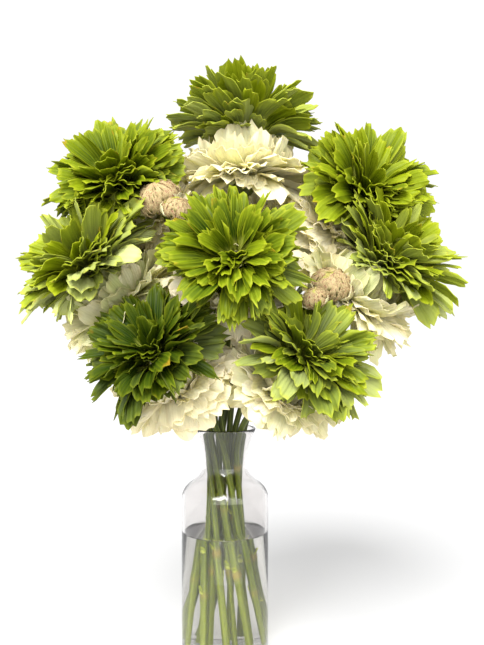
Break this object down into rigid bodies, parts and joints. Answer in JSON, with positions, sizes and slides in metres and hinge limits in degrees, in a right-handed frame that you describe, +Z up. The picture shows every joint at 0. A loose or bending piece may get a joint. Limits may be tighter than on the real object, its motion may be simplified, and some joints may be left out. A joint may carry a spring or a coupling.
{
  "type": "ranunculus in vase",
  "caption": "Bunch of cut ranunculus with toothed green crowns over ruffled cream petals, with half-open buds, in a clear glass bottle vase with water",
  "frame": {"origin": "centre of the vase's foot, on the surface it stands on", "axes": "+Z up along the vase's axis, +X to the right and -Y towards the viewer, as in the picture"},
  "size_m": [0.3485, 0.2453, 0.4787],
  "materials": {
    "clear_glass": "gloss",
    "water": "gloss",
    "stem_green": "satin",
    "petal_white": "matte",
    "petal_green": "satin",
    "bud_blush": "matte"
  },
  "bodies": {
    "root": {"vase": "clear_glass", "water": "water", "top_stem": "stem_green", "top_white_petals": "petal_white", "top_green_petals": "petal_green", "upper_left_stem": "stem_green", "upper_left_white_petals": "petal_white", "upper_left_green_petals": "petal_green", "upper_right_stem": "stem_green", "upper_right_white_petals": "petal_white", "upper_right_green_petals": "petal_green", "left_stem": "stem_green", "left_white_petals": "petal_white", "left_green_petals": "petal_green", "right_stem": "stem_green", "right_white_petals": "petal_white", "right_green_petals": "petal_green", "middle_stem": "stem_green", "middle_white_petals": "petal_white", "middle_green_petals": "petal_green", "lower_left_stem": "stem_green", "lower_left_white_petals": "petal_white", "lower_left_green_petals": "petal_green", "lower_right_stem": "stem_green", "lower_right_white_petals": "petal_white", "lower_right_green_petals": "petal_green", "back_upper_stem": "stem_green", "back_upper_white_petals": "petal_white", "back_upper_green_petals": "petal_green", "back_lower_stem": "stem_green", "back_lower_white_petals": "petal_white", "back_lower_green_petals": "petal_green", "left_large_stem": "stem_green", "left_large_bud": "bud_blush", "left_small_stem": "stem_green", "left_small_bud": "bud_blush", "right_large_stem": "stem_green", "right_large_bud": "bud_blush", "right_small_stem": "stem_green", "right_small_bud": "bud_blush"}
  },
  "joints": []
}
